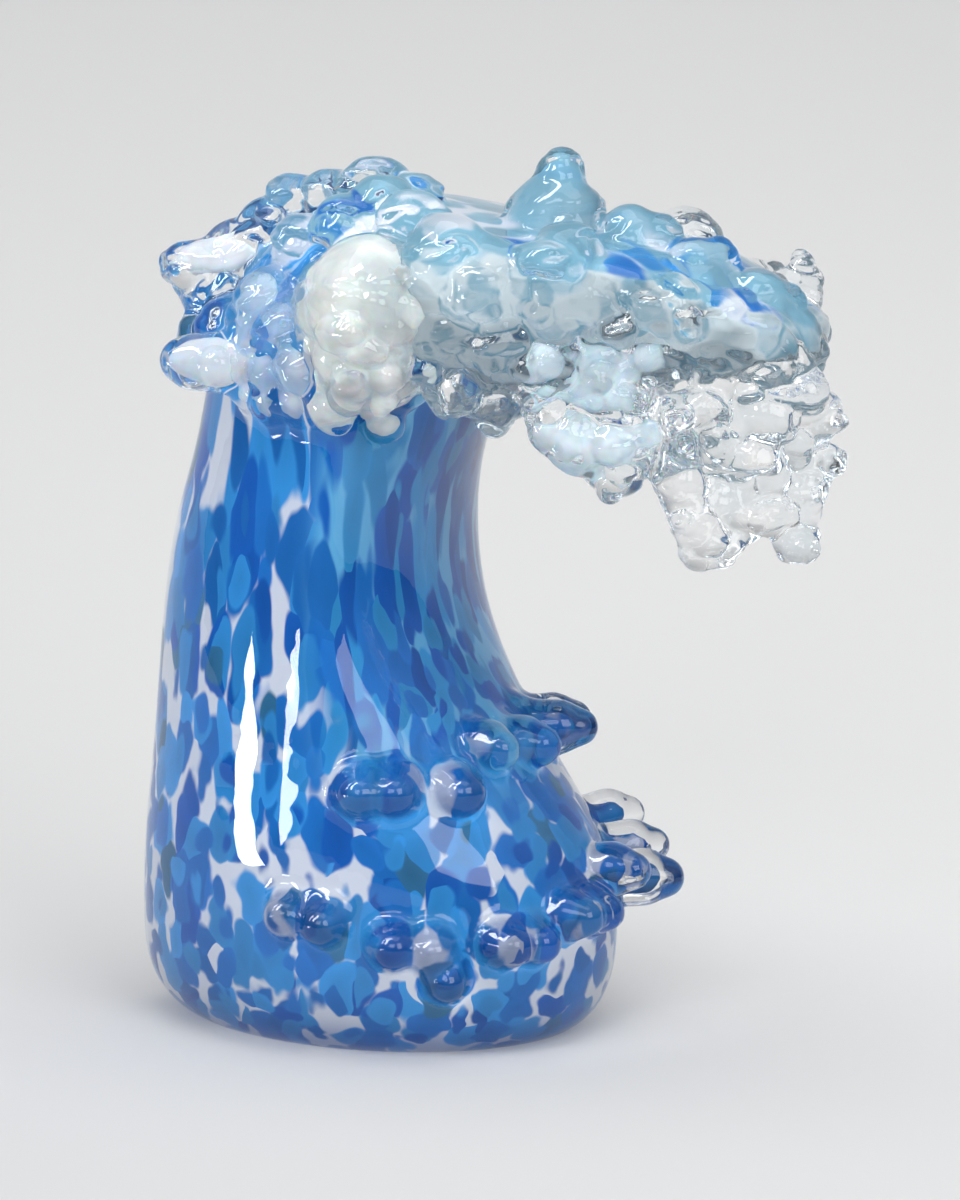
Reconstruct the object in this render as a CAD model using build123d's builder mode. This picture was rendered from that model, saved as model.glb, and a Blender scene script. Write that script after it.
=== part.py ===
from build123d import *
from math import cos, radians, sin, sqrt
import os

os.makedirs("parts", exist_ok=True)

# All sizes are millimetres. The foot stands on z = 0 and the wave breaks toward +X.
# The near side, the one with the milky lump, is -Y.

# Layers of the gather, measured inward from the outer skin.
CASING = 3.0
CHIP_LAYER = 1.5

# The white core stops inside the body at this height; only colour runs on into the crest.
CORE_BLOCK = (300.0, 200.0, 162.0)

# Body sections: height, reach toward the back, reach toward the front, half depth.
BODY_TOP = 172.0
BODY = (
    (0.0, 57.0, 51.0, 41.0),
    (3.0, 63.0, 57.0, 47.0),
    (10.0, 69.5, 62.0, 52.0),
    (30.0, 73.0, 65.0, 55.0),
    (50.0, 72.3, 61.0, 55.0),
    (70.0, 70.3, 48.0, 53.0),
    (92.0, 68.3, 32.0, 51.0),
    (116.0, 66.2, 19.0, 49.0),
    (140.0, 62.0, 16.0, 47.0),
    (160.0, 56.0, 21.0, 45.0),
    (BODY_TOP, 53.0, 26.0, 44.5),
)

# Crest sections, turned forward about a pivot line along Y in front of the body:
# turn in degrees, reach from the pivot, depth outward, depth inward, half width.
PIVOT_X = 48.0
PIVOT_Z = BODY_TOP
CREST = (
    (0.0, PIVOT_X, 53.0, 26.0, 44.5),
    (25.0, 48.0, 47.0, 26.0, 47.0),
    (50.0, 46.0, 31.0, 28.0, 49.0),
    (75.0, 44.0, 13.0, 31.0, 50.0),
    (100.0, 43.0, 9.0, 31.0, 48.0),
    (122.0, 48.0, 10.0, 28.0, 44.0),
    (140.0, 57.0, 9.0, 24.0, 38.0),
    (155.0, 68.0, 8.0, 18.0, 30.0),
    (165.0, 73.0, 6.5, 10.0, 19.0),
)
CREST_END = CREST[-1][0]

# A bit of foam stands this share of its radius proud of the skin it is melted to.
PROUD = 0.3

# Levels of a bead's sections as shares of its radius; the ends stay open for a small flat.
BEAD_LEVELS = (-0.96, -0.8, -0.45, 0.0, 0.45, 0.8, 0.96)

# Direction that a drawn string's profile is laid across; no string runs along it.
STRING_SIDE = (0.3, 0.2, 1.0)

# Cones and blocks are placed by the middle of their base.
BASE_ALIGN = (Align.CENTER, Align.CENTER, Align.MIN)
TOP_ALIGN = (Align.CENTER, Align.CENTER, Align.MAX)

# Lumps smaller than this, in cubic millimetres, are polished off a trimmed bit.
CRUMB = 30.0

# Roots of the pulled nubs start this far under the skin before they are trimmed to it.
ROOT_DEPTH = 6.0
ROOT_LIP = 0.5


def row_at(table, key):
    """Values of a section table at a key between two of its rows."""
    for low, high in zip(table, table[1:]):
        if key <= high[0]:
            break
    share = (key - low[0]) / (high[0] - low[0])
    return [a + share * (b - a) for a, b in zip(low[1:], high[1:])]


def crest_seat(station, side, lift=0.0, sag=0.0):
    """Point on the crest: side 0 is the top, -90 the near side, 90 the far side, 180 underneath."""
    reach, outer, inner, half = row_at(CREST, station)
    turn, around = radians(station), radians(side)
    depth = outer if cos(around) > 0 else inner
    normal = Vector(-cos(around) / depth, sin(around) / half).normalized()
    inward = -depth * cos(around) + lift * normal.X
    across = half * sin(around) + lift * normal.Y
    distance = reach - inward
    return Vector(PIVOT_X - distance * cos(turn), across, PIVOT_Z + distance * sin(turn) - sag)


def body_seat(height, bearing):
    """Point and outward direction on the body: bearing 0 is the front, 90 the near side."""
    back, front, half = row_at(BODY, height)
    around = radians(bearing)
    reach = front if cos(around) > 0 else back
    point = Vector(reach * cos(around), -half * sin(around), height)
    outward = Vector(cos(around) / reach, -sin(around) / half, 0.0).normalized()
    return point, outward


def body_sections(inset):
    """Planes and half axes of the body at a depth under its outer skin."""
    sections = []
    for height, back, front, half in BODY:
        raised = inset + height * (BODY_TOP - inset) / BODY_TOP
        sections.append((Plane.XY.offset(raised), back - inset, front - inset, half - inset))
    return sections


def crest_sections(inset):
    """Planes and half axes of the crest at a depth under its outer skin."""
    sections = []
    for station, reach, outer, inner, half in CREST[1:]:
        turn = radians(station) - (inset / reach if station == CREST_END else 0.0)
        centre = (PIVOT_X - reach * cos(turn), 0.0, PIVOT_Z + reach * sin(turn))
        plane = Plane(centre, x_dir=(cos(turn), 0.0, -sin(turn)), z_dir=(sin(turn), 0.0, cos(turn)))
        sections.append((plane, outer - inset, inner - inset, half - inset))
    return sections


def lofted(sections):
    """Smooth solid through sections made of two half ellipses each."""
    with BuildPart() as form:
        for plane, behind, ahead, half in sections:
            with BuildSketch(plane):
                with BuildLine():
                    EllipticalCenterArc((0, 0), behind, half, start_angle=90, arc_size=180)
                    EllipticalCenterArc((0, 0), ahead, half, start_angle=270, arc_size=180)
                make_face()
        loft()
    return form.part


def bead(point, radius, outward):
    """A ball of glass, lofted from its buried side to its outer side."""
    out = outward.normalized()
    sections = []
    for level in BEAD_LEVELS:
        girth = radius * sqrt(1.0 - level * level)
        sections.append((Plane(point + out * (level * radius), z_dir=out), girth, girth, girth))
    return lofted(sections)


def strand(balls):
    """A ball of glass, or a straight string drawn through several balls."""
    if len(balls) == 1:
        return bead(*balls[0])
    start, end = balls[0][0], balls[-1][0]
    axis = end - start
    across = axis.cross(Vector(*STRING_SIDE)).normalized()
    girths = [(radius, (point - start).dot(axis.normalized())) for point, radius, _ in balls]
    (root, _), (tip, length) = girths[0], girths[-1]
    with BuildPart() as drawn:
        with BuildSketch(Plane(start, x_dir=across, z_dir=across.cross(axis))):
            with BuildLine():
                Line((0, length + tip), (0, -root))
                RadiusArc((0, -root), girths[0], -root)
                Spline(*girths, tangents=((0, 1), (0, 1)))
                RadiusArc(girths[-1], (0, length + tip), -tip)
            make_face()
        revolve(axis=Axis(start, axis))
    return drawn.part


def balls_at(beads):
    """Balls seated on the crest; each bead is a station, a side, a sag and a radius."""
    balls = []
    for station, side, sag, radius in beads:
        outward = crest_seat(station, side, radius) - crest_seat(station, side)
        balls.append((crest_seat(station, side, PROUD * radius, sag), radius, outward))
    return balls


def finger_balls(station, side, sag, reach, root, tip):
    """Two balls of a finger drawn from the crest to a point some way off its seat."""
    start = crest_seat(station, side, PROUD * root, sag)
    outward = Vector(*reach)
    return [(start, root, outward), (start + outward, tip, outward)]


def pull_nub(node, lobes):
    """Pull a nub out of the body: each lobe is height, bearing, rise, length, root and tip radius."""
    with BuildPart() as bit:
        for height, bearing, rise, length, root, tip in lobes:
            seat, outward = body_seat(height, bearing)
            pull = outward * cos(radians(rise)) + Vector(0, 0, sin(radians(rise)))
            across = pull.cross(Vector(0, 0, 1)).normalized()
            shoulder = length - tip
            with BuildSketch(Plane(seat, x_dir=across, z_dir=across.cross(pull))):
                with BuildLine():
                    Line((0, length), (0, -ROOT_DEPTH))
                    Line((0, -ROOT_DEPTH), (root, -ROOT_DEPTH))
                    Line((root, -ROOT_DEPTH), (root, -ROOT_LIP))
                    Spline((root, -ROOT_LIP), (tip, shoulder), tangents=((-0.8, 0.6), (0, 1)))
                    RadiusArc((tip, shoulder), (0, length), -tip)
                make_face()
            revolve(axis=Axis(seat, pull))
        add(wave, mode=Mode.SUBTRACT)
    bit.part.label = node
    export_step(bit.part, f"parts/{node}.step")


def lumps_of(part):
    """The lumps of a trimmed bit, without the crumbs left where two skins nearly met."""
    return [lump for lump in part.solids() if lump.volume > CRUMB]


def melt_on(node, strings):
    """Melt strings of balls together, trim them to the wave and write the bit out."""
    strands = [strand(balls) for balls in strings]
    with BuildPart() as bit:
        add(strands)
        add(wave, mode=Mode.SUBTRACT)
        add(lumps_of(bit.part), mode=Mode.REPLACE)
    bit.part.label = node
    export_step(bit.part, f"parts/{node}.step")


def melt_slice(node, strings, x_span, z_span):
    """Melt strings of balls into a slice of the foam, which ends in flat seams toward its neighbours."""
    low = Vector(PIVOT_X + x_span[0], -FOAM_SPAN, PIVOT_Z + z_span[0])
    high = Vector(PIVOT_X + x_span[1], FOAM_SPAN, PIVOT_Z + z_span[1])
    strands = [strand(balls) for balls in strings]
    with BuildPart() as bit:
        add(strands)
        with Locations((low + high) * 0.5):
            Box(high.X - low.X, high.Y - low.Y, high.Z - low.Z, mode=Mode.INTERSECT)
        add(wave, mode=Mode.SUBTRACT)
        add(lumps_of(bit.part), mode=Mode.REPLACE)
    bit.part.label = node
    export_step(bit.part, f"parts/{node}.step")


# The gather: white core, chips fused over it, clear glass cased over both.
wave = lofted(body_sections(0.0) + crest_sections(0.0))
chips = lofted(body_sections(CASING) + crest_sections(CASING))
core = lofted(body_sections(CASING + CHIP_LAYER) + crest_sections(CASING + CHIP_LAYER))
core_block = Box(*CORE_BLOCK, align=BASE_ALIGN, mode=Mode.PRIVATE)

with BuildPart() as clear_casing:
    add(wave)
    add(chips, mode=Mode.SUBTRACT)
clear_casing.part.label = "clear_casing"
export_step(clear_casing.part, "parts/clear_casing.step")

with BuildPart() as white_core:
    add(core)
    add(core_block, mode=Mode.INTERSECT)
white_core.part.label = "white_core"
export_step(white_core.part, "parts/white_core.step")

with BuildPart() as blue_chip_layer:
    add(chips)
    add(white_core.part, mode=Mode.SUBTRACT)
blue_chip_layer.part.label = "blue_chip_layer"
export_step(blue_chip_layer.part, "parts/blue_chip_layer.step")

# Peaks pulled up from the top of the crest, each a string of shrinking balls.
PEAKS = {
    "crest_peak_tall": ((94, -16, 6, 10.5), (97, -18, -5, 8.0), (102, -20, -15, 4.6)),
    "crest_peak_low": ((121, -20, 2, 8.0), (128, -18, -1, 5.0)),
    "crest_peak_middle": ((138, -26, 2, 6.5), (142, -18, -3, 4.0)),
    "crest_peak_tip": ((150, -20, 2, 6.0), (157, -12, -3, 3.5)),
}
for node, beads in PEAKS.items():
    melt_on(node, [balls_at(beads)])

# Foam along the top of the crest: crest station, side, sag below the seat, radius.
CROWN = (
    (36, -20, -6, 6.5),
    (44, -18, -1, 7.0),
    (53, -18, 0, 8.0),
    (61, -20, 0, 4.5),
    (67, -52, 0, 7.0),
    (51, -50, 0, 7.0),
    (40, -48, 0, 6.5),
    (58, -38, 0, 7.0),
)

# Drawn fingers: station, side, sag, reach from the seat, root radius, tip radius.
UPPER_FINGER = (31, -20, 4, (-20.5, -9.3, -3.0), 5.8, 5.5)
LOWER_FINGER = (20, -60, 10, (-16.0, -8.0, 0.0), 7.0, 5.5)
TIP_LOBE = (158, -48, 3, (9.0, 2.0, -16.0), 5.5, 6.0)
TIP_BEAD = (164, -44, 17, (8.0, 4.0, -1.0), 4.2, 4.8)

# Foam from the back of the crest down its near side to the tip. Each slice has a span along X
# and a span along Z, both from the pivot, then its beads, then the fingers that start in it.
FOAM_SPAN = 90.0
DRIP_SEAM = -9.0
NEAR_FOAM = {
    "foam_crown": ((-73.0, 60.0), (0.0, 100.0), CROWN, ()),
    "left_finger_upper": (
        (-140.0, -73.0),
        (32.0, 100.0),
        ((33, -22, 0, 9.0), (26, -22, 0, 10.0), (26, -3, 0, 9.0), (19, -25, 0, 9.5)),
        (UPPER_FINGER,),
    ),
    "left_finger_lower": (
        (-140.0, -73.0),
        (-20.0, 32.0),
        ((26, -22, 0, 10.0), (19, -25, 0, 9.5), (12, -32, 0, 8.0), (16, -45, 0, 7.0)),
        (LOWER_FINGER,),
    ),
    "foam_left": (
        (-73.0, -46.0),
        (-20.0, 60.0),
        (
            (27, -60, 1, 7.0),
            (24, -75, 0, 6.5),
            (20, -62, 2, 6.0),
            (16, -85, 0, 6.5),
            (12, -75, 0, 6.0),
            (6, -66, 0, 4.5),
            (4, -75, 0, 4.5),
            (6, -85, 0, 5.5),
        ),
        (LOWER_FINGER,),
    ),
    "opal_lump": (
        (-46.0, -14.0),
        (-20.0, 60.0),
        (
            (50, -95, 0, 15.0),
            (32, -110, 0, 14.0),
            (38, -88, 0, 10.0),
            (6, -100, 0, 6.0),
            (10, -120, 0, 6.0),
            (20, -130, 0, 6.5),
            (16, -105, 0, 8.0),
        ),
        (),
    ),
    "foam_centre": (
        (-14.0, 10.0),
        (-20.0, 60.0),
        (
            (82, -90, 0, 9.0),
            (96, -100, 0, 10.0),
            (78, -120, 0, 9.0),
            (104, -120, 0, 9.0),
            (67, -130, 8, 9.0),
            (82, -140, 9, 8.0),
            (72, -100, 0, 8.0),
            (99, -136, 5, 6.5),
            (92, -142, 10, 6.0),
        ),
        (),
    ),
    "foam_shoulder": (
        (10.0, 29.0),
        (25.0, 60.0),
        ((119, -78, 1, 8.0), (113, -98, 1, 7.0), (122, -110, 0, 6.5)),
        (),
    ),
    "foam_right_upper": (
        (29.0, 49.0),
        (25.0, 60.0),
        ((134, -105, 0, 6.0), (142, -112, 0, 6.0), (145, -95, 0, 5.0), (150, -118, 0, 6.0), (136, -124, 0, 6.0)),
        (),
    ),
    "foam_right_middle": (
        (10.0, 49.0),
        (2.0, 25.0),
        (
            (128, -145, 0, 7.0),
            (137, -136, 7, 7.0),
            (126, -141, 12, 6.5),
            (143, -142, 9, 6.5),
            (149, -138, 5, 6.0),
            (134, -144, 16, 6.5),
            (142, -135, 18, 6.0),
            (113, -140, 14, 7.0),
            (118, -125, 8, 7.0),
        ),
        (),
    ),
    "foam_right_lower": (
        (10.0, 42.0),
        (-30.0, 2.0),
        (
            (125, -137, 23, 7.2),
            (134, -144, 27, 7.7),
            (142, -136, 29, 7.4),
            (148, -147, 26, 6.4),
            (139, -150, 34, 5.6),
            (129, -132, 31, 5.2),
        ),
        (),
    ),
    "foam_tip_upper": (
        (49.0, 69.0),
        (8.0, 60.0),
        (
            (150, -95, 0, 7.0),
            (154, -82, 0, 5.5),
            (158, -100, 1, 7.0),
            (164, -120, 0, 6.5),
            (157, -140, 1, 6.0),
            (162, -124, 9, 6.5),
        ),
        (),
    ),
    "tip_lobe": (
        (69.0, 120.0),
        (8.0, 60.0),
        ((158, -66, 2, 6.0), (163, -78, 10, 6.2)),
        (TIP_LOBE,),
    ),
    "foam_tip_lower": (
        (49.0, 74.0),
        (DRIP_SEAM, 8.0),
        (
            (155, -118, 18, 6.6),
            (160, -126, 17, 7.1),
            (164, -106, 16, 6.4),
            (163, -72, 19, 6.1),
            (154, -124, 28, 6.3),
            (161, -116, 26, 6.2),
            (164, -90, 27, 5.9),
        ),
        (),
    ),
    "tip_bead": (
        (74.0, 120.0),
        (DRIP_SEAM, 8.0),
        ((163, -72, 19, 6.1), (163, -38, 26, 5.5)),
        (TIP_BEAD,),
    ),
}
for node, (x_span, z_span, beads, fingers) in NEAR_FOAM.items():
    strings = [balls_at([bead]) for bead in beads] + [finger_balls(*finger) for finger in fingers]
    melt_slice(node, strings, x_span, z_span)

# Clear drips under the tip, each a string of beads with lumps on it, and the bridge drawn between them.
DRIPS = {
    "tip_drip_left": (
        ((154, -130, 35, 6.5), (156, -130, 46, 5.4), (158, -130, 53, 5.6)),
        ((157, -125, 47, 6.5), (160, -122, 51, 5.6)),
    ),
    "tip_drip_right": (
        ((164, -18, 31, 5.0), (163, -22, 44, 4.0), (162, -26, 54, 5.2)),
        ((165, -30, 38, 5.0),),
    ),
}
BRIDGE = ((158, -120, 49, 4.2), (161, -80, 47, 3.6), (162, -30, 47, 4.0))
DRIP_BLOCK = 200.0
drips = {}
for node, (string, lumps) in DRIPS.items():
    hanging = [strand(balls_at(string))] + [strand(balls_at([lump])) for lump in lumps]
    with BuildPart() as drip:
        add(hanging)
        with Locations((PIVOT_X, 0.0, PIVOT_Z + DRIP_SEAM)):
            Box(DRIP_BLOCK, DRIP_BLOCK, DRIP_BLOCK, align=TOP_ALIGN, mode=Mode.INTERSECT)
    drip.part.label = node
    export_step(drip.part, f"parts/{node}.step")
    drips[node] = drip.part

bridge = strand(balls_at(BRIDGE))
with BuildPart() as tip_bridge:
    add(bridge)
    for drip in drips.values():
        add(drip, mode=Mode.SUBTRACT)
tip_bridge.part.label = "tip_bridge"
export_step(tip_bridge.part, "parts/tip_bridge.step")

# Foam on the far side, listed the same way.
FAR_FOAM = {
    "far_foam_left": (
        (-80.0, -14.0),
        (-20.0, 60.0),
        ((46, 94, 0, 13.0), (30, 106, 0, 11.0), (15, 98, 0, 8.0), (28, 80, 0, 8.0)),
    ),
    "far_foam_centre": (
        (-14.0, 10.0),
        (-20.0, 60.0),
        ((80, 96, 0, 9.0), (96, 104, 0, 9.5), (86, 124, 0, 8.5), (68, 112, 0, 8.0)),
    ),
    "far_foam_shoulder": (
        (10.0, 29.0),
        (25.0, 60.0),
        ((116, 82, 0, 8.0), (123, 102, 0, 7.5), (108, 112, 0, 8.0)),
    ),
    "far_foam_upper": (
        (29.0, 80.0),
        (25.0, 60.0),
        ((136, 106, 0, 7.0), (144, 100, 0, 7.0), (152, 86, 0, 6.0)),
    ),
    "far_foam_hanging": (
        (10.0, 49.0),
        (-20.0, 25.0),
        ((112, 136, 4, 7.5), (124, 142, 6, 7.5), (134, 138, 9, 7.0), (128, 146, 17, 6.5)),
    ),
}
for node, (x_span, z_span, beads) in FAR_FOAM.items():
    melt_slice(node, [balls_at([bead]) for bead in beads], x_span, z_span)

# Nubs pulled from the front of the body in two rows: height, bearing, rise, length, root, tip.
NUBS = {
    "upper_nub_1": ((73, 70, 8, 10.5, 8.0, 5.5), (73, 60, 8, 10.5, 8.0, 5.5)),
    "upper_nub_2": ((72, 40, 8, 11.0, 7.5, 5.5),),
    "upper_nub_3": ((81, 21, 12, 11.0, 7.0, 4.8),),
    "upper_nub_4": ((80, 2, 8, 11.5, 7.5, 5.0),),
    "upper_nub_5": ((82, -18, 4, 17.0, 8.0, 4.6),),
    "upper_nub_6": ((80, -40, 8, 14.0, 8.0, 5.0),),
    "upper_nub_7": ((75, -64, 8, 13.0, 8.5, 5.5),),
    "lower_nub_1": ((40, 92, 0, 9.0, 8.0, 5.0), (39, 83, -10, 9.0, 7.5, 4.8)),
    "lower_nub_2": ((33, 66, 0, 9.5, 8.0, 5.0), (32, 57, 0, 9.5, 7.5, 5.2), (27, 54, -30, 11.0, 6.0, 4.5)),
    "lower_nub_3": ((33, 38, -5, 10.0, 7.0, 4.8), (33, 30, -5, 10.0, 6.5, 4.6)),
    "lower_nub_4": ((38, 17, 0, 12.0, 6.0, 4.6), (38, 9, 0, 12.0, 6.0, 4.6)),
    "lower_nub_5": ((46, -3, 6, 15.0, 6.0, 4.6),),
    "lower_nub_6": ((40, -17, 8, 20.0, 6.5, 5.0),),
    "lower_nub_7": ((46, -30, 8, 18.0, 6.5, 4.4),),
    "lower_nub_8": ((50, -46, 14, 18.0, 8.0, 4.4),),
    "lower_nub_9": ((42, -66, 0, 12.0, 8.0, 5.0), (42, -74, 0, 12.0, 7.5, 4.6)),
    "lower_nub_10": ((40, -92, 0, 11.0, 8.0, 5.0),),
}
for node, lobes in NUBS.items():
    pull_nub(node, lobes)
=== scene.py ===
import random
from math import atan2, cos, radians, sin

import bmesh
import bpy
from mathutils import Matrix, Vector, noise
from mathutils.bvhtree import BVHTree


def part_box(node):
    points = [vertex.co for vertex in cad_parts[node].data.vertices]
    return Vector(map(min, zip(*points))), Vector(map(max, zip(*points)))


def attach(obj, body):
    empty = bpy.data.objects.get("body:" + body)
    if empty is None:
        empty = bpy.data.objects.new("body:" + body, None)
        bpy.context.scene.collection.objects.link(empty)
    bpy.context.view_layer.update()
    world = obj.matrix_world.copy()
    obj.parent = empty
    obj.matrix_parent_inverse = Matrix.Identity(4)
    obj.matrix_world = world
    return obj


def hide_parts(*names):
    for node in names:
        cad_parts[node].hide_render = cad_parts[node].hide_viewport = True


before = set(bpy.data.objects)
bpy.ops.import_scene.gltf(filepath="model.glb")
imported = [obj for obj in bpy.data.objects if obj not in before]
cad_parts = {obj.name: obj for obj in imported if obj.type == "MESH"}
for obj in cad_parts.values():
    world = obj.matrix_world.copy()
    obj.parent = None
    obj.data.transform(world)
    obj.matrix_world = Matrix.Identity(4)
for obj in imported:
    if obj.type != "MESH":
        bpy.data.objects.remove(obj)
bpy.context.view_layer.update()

bl_info = {
    "name": "Glass Wave",
    "version": (1, 0, 0),
    "blender": (4, 5, 0),
    "location": "View3D > Sidebar > Glass Wave",
    "description": "Dresses a breaking wave of hot glass: chips under a clear casing, nubs and foam",
    "category": "Object",
}

MM = 0.001
MERGE = 0.01 * MM

# The crest turns about this line along Y, as in the part, and its spine runs so far from it, in millimetres.
PIVOT_X = 48.0
PIVOT_Z = 172.0
SPINE_REACH = 46.0

# The photograph's view: its turn, which the floor and the backdrop share, and its rise.
VIEW_TURN = radians(25)
VIEW_RISE = radians(8)

NUBS = [f"upper_nub_{count}" for count in range(1, 8)] + [f"lower_nub_{count}" for count in range(1, 11)]
CLEAR_NUBS = ["upper_nub_4", "lower_nub_6", "lower_nub_8"]
PEAKS = ["crest_peak_tall", "crest_peak_low", "crest_peak_middle", "crest_peak_tip"]
DRIPS = ["tip_drip_left", "tip_drip_right", "tip_bridge"]
MILKY = ["left_finger_upper", "left_finger_lower", "foam_left"]
PALE = ["foam_right_lower", "foam_right_middle", "far_foam_hanging"]
FOAM = [
    "foam_crown", "foam_centre", "foam_shoulder", "foam_right_upper", "foam_tip_upper", "tip_lobe",
    "foam_tip_lower", "tip_bead", "far_foam_left", "far_foam_centre", "far_foam_shoulder", "far_foam_upper",
]
NEAR_FOAM = [
    "foam_centre", "foam_shoulder", "foam_right_upper", "foam_right_middle", "foam_right_lower",
    "foam_tip_upper", "foam_tip_lower",
]
FAR_FOAM = ["far_foam_left", "far_foam_centre", "far_foam_shoulder", "far_foam_upper", "far_foam_hanging"]


def place(tree, kind, settings=None, values=None):
    """Add a node to a tree, with its settings and values for its sockets."""
    made = tree.nodes.new(kind)
    for name, value in (settings or {}).items():
        setattr(made, name, value)
    for socket, value in (values or {}).items():
        made.inputs[socket].default_value = value
    return made


def wire(tree, start, end):
    """Link one socket to another."""
    tree.links.new(start, end)


def feed(tree, value, socket):
    """Link a value into a socket, or set it there if it is a plain one."""
    if isinstance(value, bpy.types.NodeSocket):
        wire(tree, value, socket)
    else:
        socket.default_value = value


def math_node(tree, operation, *values):
    """A math node on sockets or plain numbers; gives its result."""
    made = place(tree, "ShaderNodeMath", {"operation": operation})
    for slot, value in enumerate(values):
        feed(tree, value, made.inputs[slot])
    return made.outputs[0]


def map_range(tree, value, ranges, smooth=False):
    """A value moved from one range to another; gives its result."""
    kind = "SMOOTHSTEP" if smooth else "LINEAR"
    made = place(tree, "ShaderNodeMapRange", {"interpolation_type": kind}, ranges)
    wire(tree, value, made.inputs["Value"])
    return made.outputs[0]


def fade(tree, value, low, high):
    """A smooth step from 0 at low to 1 at high."""
    return map_range(tree, value, {"From Min": low, "From Max": high}, smooth=True)


def blend_colours(tree, mask, under, over):
    """Mix two colours by a mask; gives the result."""
    made = place(tree, "ShaderNodeMix", {"data_type": "RGBA"})
    wire(tree, mask, made.inputs[0])
    feed(tree, under, made.inputs[6])
    feed(tree, over, made.inputs[7])
    return made.outputs[2]


def noise_node(tree, vector, values):
    """A noise texture over some coordinates."""
    made = place(tree, "ShaderNodeTexNoise", None, values)
    wire(tree, vector, made.inputs["Vector"])
    return made


def split(tree, vector):
    """A vector's X, Y and Z, as sockets."""
    made = place(tree, "ShaderNodeSeparateXYZ")
    wire(tree, vector, made.inputs[0])
    return made.outputs


def join(tree, **parts):
    """A vector made of sockets for its axes; an axis that isn't named is 0."""
    made = place(tree, "ShaderNodeCombineXYZ")
    for axis, value in parts.items():
        wire(tree, value, made.inputs[axis])
    return made.outputs[0]


def new_group(name, inputs, outputs):
    """An empty shader node group with named sockets; gives the tree and its two ends."""
    tree = bpy.data.node_groups.new(name, "ShaderNodeTree")
    for label, kind in inputs:
        tree.interface.new_socket(label, in_out="INPUT", socket_type=kind)
    for label, kind in outputs:
        tree.interface.new_socket(label, in_out="OUTPUT", socket_type=kind)
    return tree, place(tree, "NodeGroupInput"), place(tree, "NodeGroupOutput")


def pull_flow_group():
    """Object coordinates in metres to millimetres across and along the pull of the glass."""
    name = "Pull Flow"
    if name in bpy.data.node_groups:
        return bpy.data.node_groups[name]
    tree, start, end = new_group(name, [("Vector", "NodeSocketVector")], [("Flow", "NodeSocketVector")])
    scaled = place(tree, "ShaderNodeVectorMath", {"operation": "SCALE"}, {"Scale": 1.0 / MM})
    wire(tree, start.outputs["Vector"], scaled.inputs[0])
    parts = split(tree, scaled.outputs[0])
    ahead = math_node(tree, "SUBTRACT", PIVOT_X, parts["X"])
    above = math_node(tree, "SUBTRACT", parts["Z"], PIVOT_Z)
    reach = place(tree, "ShaderNodeVectorMath", {"operation": "LENGTH"})
    wire(tree, join(tree, X=ahead, Z=above), reach.inputs[0])
    turn = math_node(tree, "ARCTAN2", above, ahead)
    bent = join(
        tree,
        X=math_node(tree, "SUBTRACT", PIVOT_X, reach.outputs["Value"]),
        Y=parts["Y"],
        Z=math_node(tree, "MULTIPLY_ADD", turn, PIVOT_X, PIVOT_Z),
    )
    choose = place(tree, "ShaderNodeMix", {"data_type": "VECTOR"})
    wire(tree, math_node(tree, "GREATER_THAN", parts["Z"], PIVOT_Z), choose.inputs[0])
    wire(tree, scaled.outputs[0], choose.inputs[4])
    wire(tree, bent, choose.inputs[5])
    wire(tree, choose.outputs[1], end.inputs["Flow"])
    return tree


# Layers of chips, each laid here and there over the one before: cells per millimetre, shift,
# share of cells left bare, radius of a chip where they crowd and where they thin out.
CHIP_LAYERS = (
    (0.108, 11.0, 0.06, 0.74, 0.50),
    (0.118, 47.0, 0.30, 0.62, 0.42),
    (0.135, 83.0, 0.50, 0.56, 0.40),
)

# Colours of a field of chips, and the share of the chips that are lighter than each of the darker ones.
CHIP_COLOURS = ("Ground", "Light", "Middle", "Deep", "Dark")
CHIP_SHARES = (("Middle", 0.42), ("Deep", 0.80), ("Dark", 0.96))

# How far the chips wander, in millimetres, and the range of a noise in which they thin out.
CHIP_WANDER = 9.0
CHIP_THINNING = (0.46, 0.66)


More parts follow.
